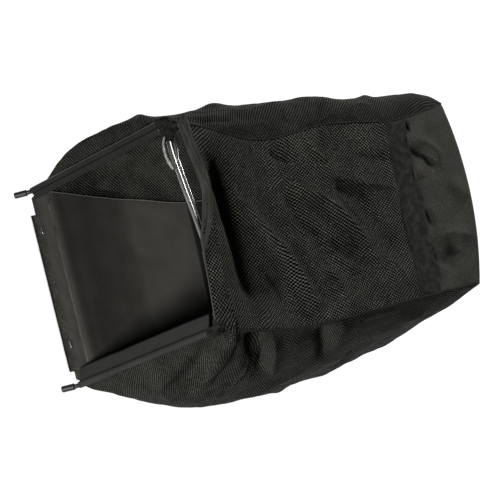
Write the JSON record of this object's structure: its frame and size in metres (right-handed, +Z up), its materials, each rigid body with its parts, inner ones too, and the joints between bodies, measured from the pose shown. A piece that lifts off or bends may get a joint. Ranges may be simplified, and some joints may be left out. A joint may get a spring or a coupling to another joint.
{
  "type": "mower grass collection bag",
  "caption": "Cloth grass collection bag on a bent steel mouth hoop, with a smooth floor panel, mesh top and vinyl leg bindings.",
  "frame": {"origin": "middle of the lip bar's underside, where the bag sits on the mower's rear lip", "axes": "+X from the mouth to the rear of the bag, +Y to the left as one looks into the mouth, +Z up"},
  "size_m": [0.7365, 0.5026, 0.389],
  "materials": {
    "plated_steel": "bright zinc plated rod and strip",
    "staple_steel": "bright wire",
    "black_vinyl": "smooth semi-gloss black vinyl",
    "hem_vinyl": "grained black vinyl",
    "floor_vinyl": "smooth matt dark grey-brown vinyl sheet",
    "woven_cloth": "close plain weave, black with a faint sheen",
    "hem_cloth": "rolled woven cloth",
    "mesh_cloth": "coarse open diagonal mesh, black",
    "seam_tape": "dull black tape and piping"
  },
  "bodies": {
    "root": {"mouth_hoop": "plated_steel", "support_loop": "plated_steel", "stub_cap_left": "black_vinyl", "stub_cap_right": "black_vinyl", "leg_binding_left": "black_vinyl", "leg_binding_right": "black_vinyl", "lip_bar": "plated_steel", "lip_hem": "hem_vinyl", "staple_left": "staple_steel", "staple_right": "staple_steel", "floor_panel": "floor_vinyl", "base_panel": "woven_cloth", "rear_panel": "woven_cloth", "side_wall_left_upper_front": "woven_cloth", "side_wall_left_lower_front": "woven_cloth", "side_wall_left_upper_rear": "woven_cloth", "side_wall_left_lower_rear": "woven_cloth", "side_wall_right_upper_front": "woven_cloth", "side_wall_right_lower_front": "woven_cloth", "side_wall_right_upper_rear": "woven_cloth", "side_wall_right_lower_rear": "woven_cloth", "top_mesh_panel": "mesh_cloth", "rear_band": "seam_tape", "rear_top_panel": "woven_cloth", "rear_edge_tape": "woven_cloth", "top_seam_left": "seam_tape", "base_seam_left": "seam_tape", "top_seam_right": "seam_tape", "base_seam_right": "seam_tape", "top_hem": "hem_cloth", "corner_strap": "seam_tape", "corner_fold_left": "woven_cloth", "corner_fold_right": "woven_cloth"}
  },
  "joints": []
}
